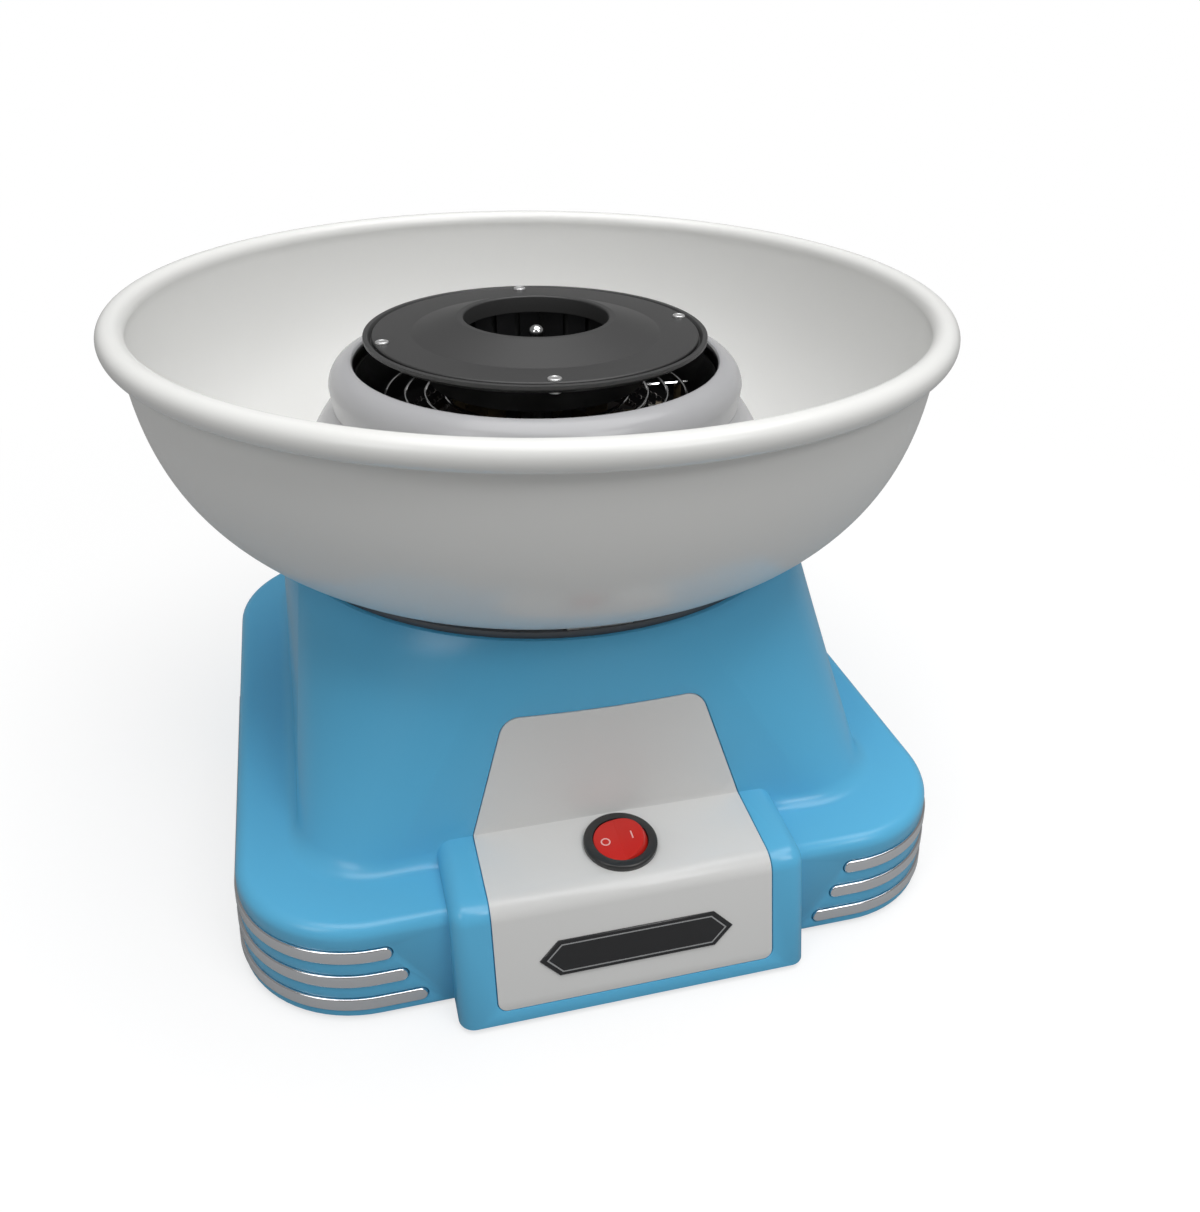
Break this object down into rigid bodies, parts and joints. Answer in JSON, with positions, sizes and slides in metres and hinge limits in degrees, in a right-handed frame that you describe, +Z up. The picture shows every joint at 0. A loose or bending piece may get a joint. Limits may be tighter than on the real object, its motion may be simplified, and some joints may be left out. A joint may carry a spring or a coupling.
{
  "type": "cotton candy machine",
  "caption": "Table-top cotton candy machine: moulded base with a rocker switch, motor and heater, a spinner head and a lift-off bowl.",
  "frame": {"origin": "on the bowl's axis, at the level that the rubber feet stand on", "axes": "+Z up along the motor shaft, the console and switch face -Y, +X to the right seen from the front"},
  "size_m": [0.28, 0.286, 0.1856],
  "materials": {
    "blue_shell": "glossy injection moulding",
    "plate_grey": "satin gloss, folded",
    "switch_black": "fine gloss",
    "switch_red": "translucent gloss",
    "brass": "bare",
    "inner_plastic": "moulded, matt",
    "rubber": "matt",
    "steel": "zinc plated",
    "gland_black": "fine grain",
    "deck_grey": "satin",
    "ring_grey": "glossy moulding",
    "dark_steel": "blackened sheet",
    "ceramic": "unglazed ceramic",
    "mica": "layered mica sheet",
    "heating_steel": "annealed wire",
    "bright_wire": "bright wire",
    "lead_white": "woven sleeve",
    "fuse_steel": "bare",
    "zinc_steel": "zinc plated sheet",
    "graphite": "pressed graphite",
    "magnet": "sintered ferrite",
    "bronze": "sintered",
    "shaft_steel": "ground and polished",
    "core_steel": "laminated sheet",
    "copper": "enamelled wire",
    "head_black": "satin black coat",
    "rivet_aluminium": "bare",
    "screen_aluminium": "perforated sheet",
    "bowl_white": "glossy moulding",
    "trim_chrome": "chrome plated"
  },
  "bodies": {
    "base": {"base_shell": "blue_shell", "bottom_plate": "inner_plastic", "bottom_screws": "steel", "bracket_grommets": "rubber", "bracket_screws": "steel", "brushes": "graphite", "can_screws": "steel", "ceramic_beads": "ceramic", "ceramic_standoffs": "ceramic", "cord_gland": "gland_black", "deck": "deck_grey", "deck_screws": "steel", "faceplate": "plate_grey", "gland_nut": "gland_black", "heat_reflector": "dark_steel", "heater_housing": "ring_grey", "heater_leads": "lead_white", "heating_wire": "heating_steel", "housing_screws": "steel", "lower_bush": "bronze", "magnets": "magnet", "mica_boards": "mica", "motor_bracket": "zinc_steel", "motor_can": "zinc_steel", "motor_end_cap": "inner_plastic", "rubber_feet": "rubber", "switch_housing": "switch_black", "switch_terminals": "brass", "thermal_fuse": "fuse_steel", "trim_left_lower": "trim_chrome", "trim_left_middle": "trim_chrome", "trim_left_upper": "trim_chrome", "trim_right_lower": "trim_chrome", "trim_right_middle": "trim_chrome", "trim_right_upper": "trim_chrome", "upper_bush": "bronze", "wind_ring": "ring_grey", "wire_guard": "bright_wire"},
    "rotor": {"motor_shaft": "shaft_steel", "cross_pin": "shaft_steel", "rotor_core": "core_steel", "rotor_winding": "copper", "commutator": "copper", "cooling_fan": "inner_plastic"},
    "head": {"head_pan": "head_black", "head_plate": "head_black", "head_rivets": "rivet_aluminium", "sugar_screen": "screen_aluminium"},
    "bowl": {"bowl": "bowl_white"},
    "rocker": {"switch_rocker": "switch_red"}
  },
  "joints": [
    {"name": "shaft_spin", "type": "hinge", "parent": "base", "child": "rotor", "pos_m": [0, 0, 0.1], "axis": [0, 0, 1], "continuous": true},
    {"name": "head_lift", "type": "slide", "parent": "rotor", "child": "head", "axis": [0, 0, 1], "range_m": [0, 0.06]},
    {"name": "bowl_lift", "type": "slide", "parent": "base", "child": "bowl", "axis": [0, 0, 1], "range_m": [0, 0.1]},
    {"name": "rocker_tilt", "type": "hinge", "parent": "base", "child": "rocker", "pos_m": [0, -0.1191, 0.0409], "axis": [0, 0.9967, 0.0811], "range_deg": [0, 20]}
  ]
}
